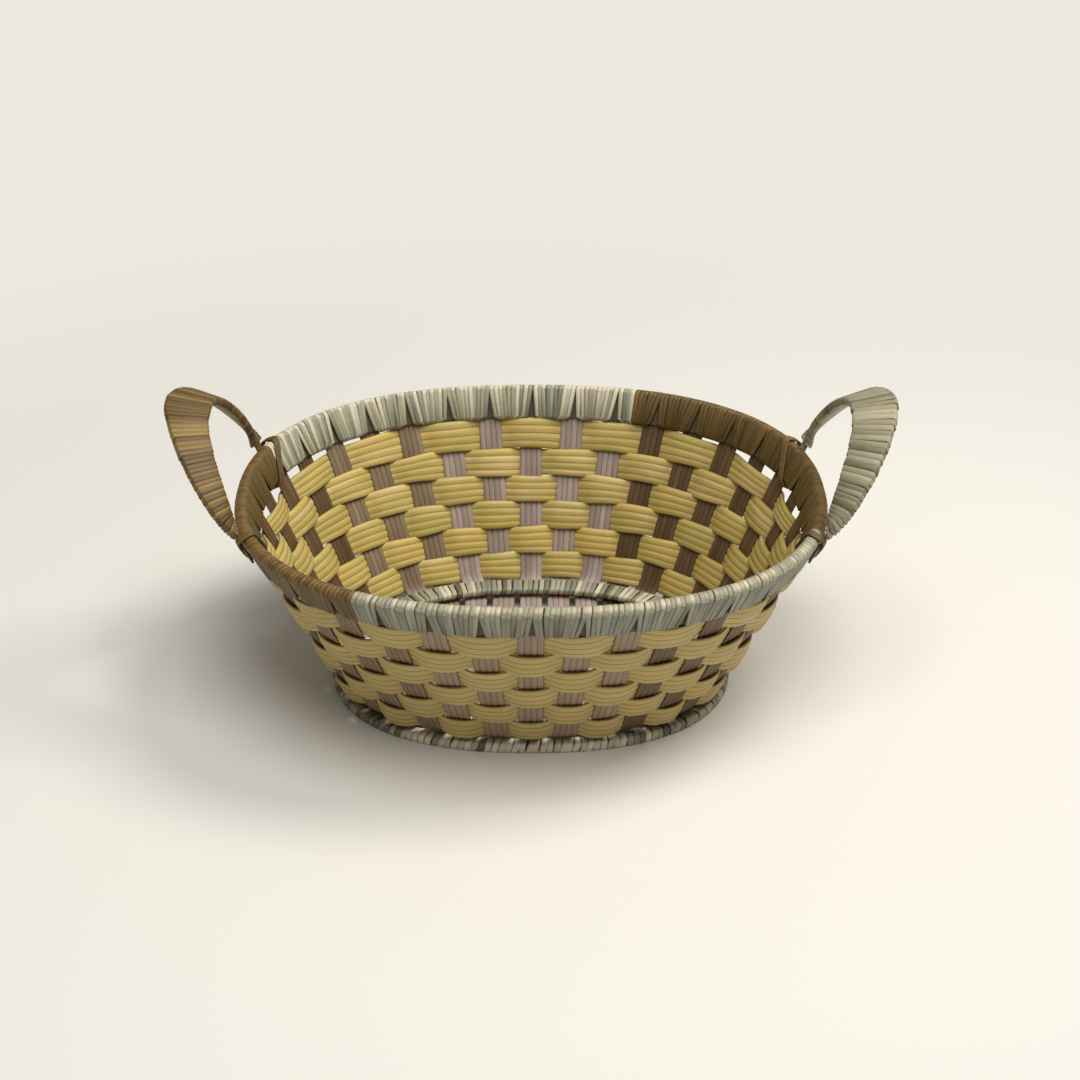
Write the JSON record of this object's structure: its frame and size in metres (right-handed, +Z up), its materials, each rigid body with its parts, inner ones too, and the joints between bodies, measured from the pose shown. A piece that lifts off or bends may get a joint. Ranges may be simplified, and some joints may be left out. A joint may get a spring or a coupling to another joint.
{
  "type": "plastic wicker basket",
  "caption": "Open oval basket woven from flat plastic strips, with a wound rim, a wound foot ring and a fixed strap handle at each end, for bread or fruit.",
  "frame": {"origin": "on the table, under the middle of the basket", "axes": "+Z up, +X along the basket's length towards the grey handle, +Y to the back"},
  "size_m": [0.3636, 0.258, 0.1566],
  "materials": {
    "gold_weave": "satin extruded strip with fine lengthwise lines",
    "mauve_strip": "satin extruded strip with fine lengthwise lines",
    "brown_strip": "satin extruded strip with fine lengthwise lines",
    "umber_strip": "satin extruded strip with fine lengthwise lines",
    "grey_winding": "wound two-tone cords, satin",
    "brown_winding": "wound two-tone cords, satin",
    "cream_winding": "wound two-tone cords, satin",
    "core": "plain, hidden under the windings"
  },
  "bodies": {
    "root": {"long_strip_1": "brown_strip", "long_strip_2": "brown_strip", "long_strip_3": "brown_strip", "long_strip_4": "brown_strip", "long_strip_5": "brown_strip", "long_strip_6": "brown_strip", "long_strip_7": "brown_strip", "cross_strip_1": "brown_strip", "cross_strip_2": "brown_strip", "cross_strip_3": "brown_strip", "cross_strip_4": "mauve_strip", "cross_strip_5": "mauve_strip", "cross_strip_6": "mauve_strip", "cross_strip_7": "mauve_strip", "cross_strip_8": "mauve_strip", "cross_strip_9": "umber_strip", "cross_strip_10": "umber_strip", "cross_strip_11": "umber_strip", "weaver_1": "gold_weave", "weaver_2": "gold_weave", "weaver_3": "gold_weave", "weaver_4": "gold_weave", "weaver_5": "gold_weave", "weaver_6": "gold_weave", "rim_outer_hoop": "core", "rim_inner_hoop": "core", "rim_winding_brown_right": "brown_winding", "rim_winding_grey_back": "grey_winding", "rim_winding_brown_left": "brown_winding", "rim_winding_grey_front": "grey_winding", "foot_ring_core": "core", "foot_ring_winding_back": "cream_winding", "foot_ring_winding_front": "cream_winding", "floor_ring_core": "core", "floor_ring_winding_back": "grey_winding", "floor_ring_winding_front": "grey_winding", "right_handle_core": "core", "right_handle_winding": "grey_winding", "right_handle_tie_1": "grey_winding", "right_handle_tie_2": "grey_winding", "left_handle_core": "core", "left_handle_winding": "brown_winding", "left_handle_tie_1": "brown_winding", "left_handle_tie_2": "brown_winding"}
  },
  "joints": []
}
